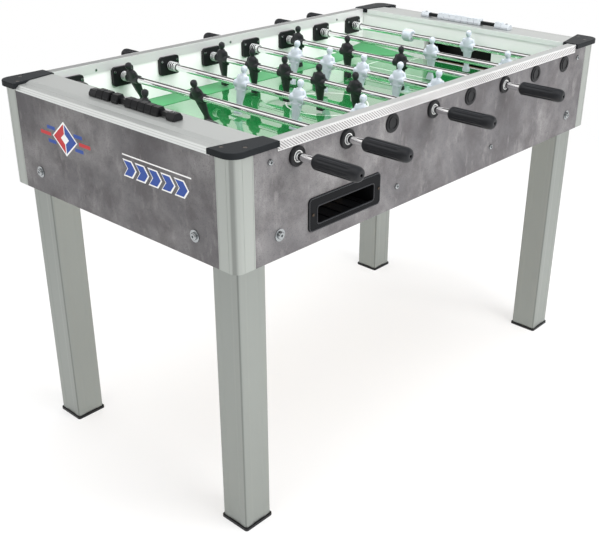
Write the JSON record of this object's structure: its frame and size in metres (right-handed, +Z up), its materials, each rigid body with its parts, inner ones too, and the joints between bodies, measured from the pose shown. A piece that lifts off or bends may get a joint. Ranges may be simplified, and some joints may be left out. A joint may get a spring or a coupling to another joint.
{
  "type": "foosball table",
  "caption": "Table football game: grey cabinet on four square aluminium legs, telescopic chrome rods with men and grips, glass field, goals, ball tray and score counters.",
  "frame": {"origin": "middle of the footprint on the floor", "axes": "+X along the field from the near goal to the far goal, +Y across the field towards the far long side, +Z up"},
  "size_m": [1.376, 1.083, 0.9083],
  "materials": {
    "concrete_laminate": "matte concrete-look laminate on board",
    "satin_aluminium": "satin anodised",
    "black_plastic": "matte",
    "bracket_steel": "satin black",
    "white_board": "satin white laminate on board",
    "field_glass": "polished glass, printed green on its underside",
    "green_strip": "matte green plastic strips",
    "raw_wood": "raw",
    "white_nylon": "satin",
    "spring_steel": "bright",
    "zinc_screws": "bright zinc",
    "white_plastic": "satin",
    "shaft_steel": "ground",
    "chrome_tube": "polished"
  },
  "bodies": {
    "table": {"side_panels": "concrete_laminate", "end_panels": "concrete_laminate", "corner_posts": "satin_aluminium", "long_rails": "satin_aluminium", "end_rails": "satin_aluminium", "corner_caps": "black_plastic", "legs": "satin_aluminium", "feet": "black_plastic", "leg_brackets": "bracket_steel", "inner_walls": "white_board", "field_glass": "field_glass", "field_strips": "green_strip", "underframe": "raw_wood", "ball_return": "raw_wood", "goal_boxes": "black_plastic", "ball_tray": "black_plastic", "bumper_blocks": "black_plastic", "springs": "spring_steel", "counter_bars": "black_plastic", "fasteners": "zinc_screws", "far_counter_ends": "white_plastic", "rod_flanges": "black_plastic", "rod_bushings": "white_nylon"},
    "rod_1_inner": {"rod_1_core": "shaft_steel"},
    "rod_1": {"rod_1_tube": "chrome_tube", "rod_1_men": "black_plastic", "rod_1_handle": "black_plastic"},
    "rod_2_inner": {"rod_2_core": "shaft_steel"},
    "rod_2": {"rod_2_tube": "chrome_tube", "rod_2_men": "black_plastic", "rod_2_handle": "black_plastic"},
    "rod_3_inner": {"rod_3_core": "shaft_steel"},
    "rod_3": {"rod_3_tube": "chrome_tube", "rod_3_men": "white_plastic", "rod_3_handle": "black_plastic"},
    "rod_4_inner": {"rod_4_core": "shaft_steel"},
    "rod_4": {"rod_4_tube": "chrome_tube", "rod_4_men": "black_plastic", "rod_4_handle": "black_plastic"},
    "rod_5_inner": {"rod_5_core": "shaft_steel"},
    "rod_5": {"rod_5_tube": "chrome_tube", "rod_5_men": "white_plastic", "rod_5_handle": "black_plastic"},
    "rod_6_inner": {"rod_6_core": "shaft_steel"},
    "rod_6": {"rod_6_tube": "chrome_tube", "rod_6_men": "black_plastic", "rod_6_handle": "black_plastic"},
    "rod_7_inner": {"rod_7_core": "shaft_steel"},
    "rod_7": {"rod_7_tube": "chrome_tube", "rod_7_men": "white_plastic", "rod_7_handle": "black_plastic"},
    "rod_8_inner": {"rod_8_core": "shaft_steel"},
    "rod_8": {"rod_8_tube": "chrome_tube", "rod_8_men": "white_plastic", "rod_8_handle": "black_plastic"},
    "near_score_a": {"near_beads_a": "black_plastic"},
    "near_score_b": {"near_beads_b": "black_plastic"},
    "near_score_c": {"near_beads_c": "black_plastic"},
    "far_score_a": {"far_beads_a": "white_plastic"},
    "far_score_b": {"far_beads_b": "white_plastic"}
  },
  "joints": [
    {"name": "rod_1_spin", "type": "hinge", "parent": "table", "child": "rod_1_inner", "pos_m": [-0.5145, 0, 0.848], "axis": [0, 1, 0], "range_deg": [-228, 48]},
    {"name": "rod_1_slide", "type": "slide", "parent": "rod_1_inner", "child": "rod_1", "axis": [0, -1, 0], "range_m": [0, 0.1662]},
    {"name": "rod_2_spin", "type": "hinge", "parent": "table", "child": "rod_2_inner", "pos_m": [-0.3675, 0, 0.848], "axis": [0, 1, 0], "continuous": true},
    {"name": "rod_2_slide", "type": "slide", "parent": "rod_2_inner", "child": "rod_2", "axis": [0, -1, 0], "range_m": [0, 0.3654]},
    {"name": "rod_3_spin", "type": "hinge", "parent": "table", "child": "rod_3_inner", "pos_m": [-0.2205, 0, 0.848], "axis": [0, 1, 0], "continuous": true},
    {"name": "rod_3_slide", "type": "slide", "parent": "rod_3_inner", "child": "rod_3", "axis": [0, 1, 0], "range_m": [-0.0037, 0.2177]},
    {"name": "rod_4_spin", "type": "hinge", "parent": "table", "child": "rod_4_inner", "pos_m": [-0.0735, 0, 0.848], "axis": [0, 1, 0], "continuous": true},
    {"name": "rod_4_slide", "type": "slide", "parent": "rod_4_inner", "child": "rod_4", "axis": [0, -1, 0], "range_m": [0, 0.1412]},
    {"name": "rod_5_spin", "type": "hinge", "parent": "table", "child": "rod_5_inner", "pos_m": [0.0735, 0, 0.848], "axis": [0, 1, 0], "continuous": true},
    {"name": "rod_5_slide", "type": "slide", "parent": "rod_5_inner", "child": "rod_5", "axis": [0, 1, 0], "range_m": [-0.0127, 0.1167]},
    {"name": "rod_6_spin", "type": "hinge", "parent": "table", "child": "rod_6_inner", "pos_m": [0.2205, 0, 0.848], "axis": [0, 1, 0], "continuous": true},
    {"name": "rod_6_slide", "type": "slide", "parent": "rod_6_inner", "child": "rod_6", "axis": [0, -1, 0], "range_m": [0, 0.2334]},
    {"name": "rod_7_spin", "type": "hinge", "parent": "table", "child": "rod_7_inner", "pos_m": [0.3675, 0, 0.848], "axis": [0, 1, 0], "continuous": true},
    {"name": "rod_7_slide", "type": "slide", "parent": "rod_7_inner", "child": "rod_7", "axis": [0, 1, 0], "range_m": [-0.0007, 0.3527]},
    {"name": "rod_8_spin", "type": "hinge", "parent": "table", "child": "rod_8_inner", "pos_m": [0.5145, 0, 0.848], "axis": [0, 1, 0], "range_deg": [-48, 228]},
    {"name": "rod_8_slide", "type": "slide", "parent": "rod_8_inner", "child": "rod_8", "axis": [0, 1, 0], "range_m": [0, 0.1662]},
    {"name": "near_score_a_slide", "type": "slide", "parent": "table", "child": "near_score_a", "axis": [0, 1, 0], "range_m": [-0.00798, 0]},
    {"name": "near_score_b_slide", "type": "slide", "parent": "table", "child": "near_score_b", "axis": [0, 1, 0], "range_m": [-0.02394, 0.00798]},
    {"name": "near_score_c_slide", "type": "slide", "parent": "table", "child": "near_score_c", "axis": [0, 1, 0], "range_m": [-0.02508, 0.02394]},
    {"name": "far_score_a_slide", "type": "slide", "parent": "table", "child": "far_score_a", "axis": [0, 1, 0], "range_m": [-0.04838, 0.03362]},
    {"name": "far_score_b_slide", "type": "slide", "parent": "table", "child": "far_score_b", "axis": [0, 1, 0], "range_m": [0, 0.04838]}
  ]
}
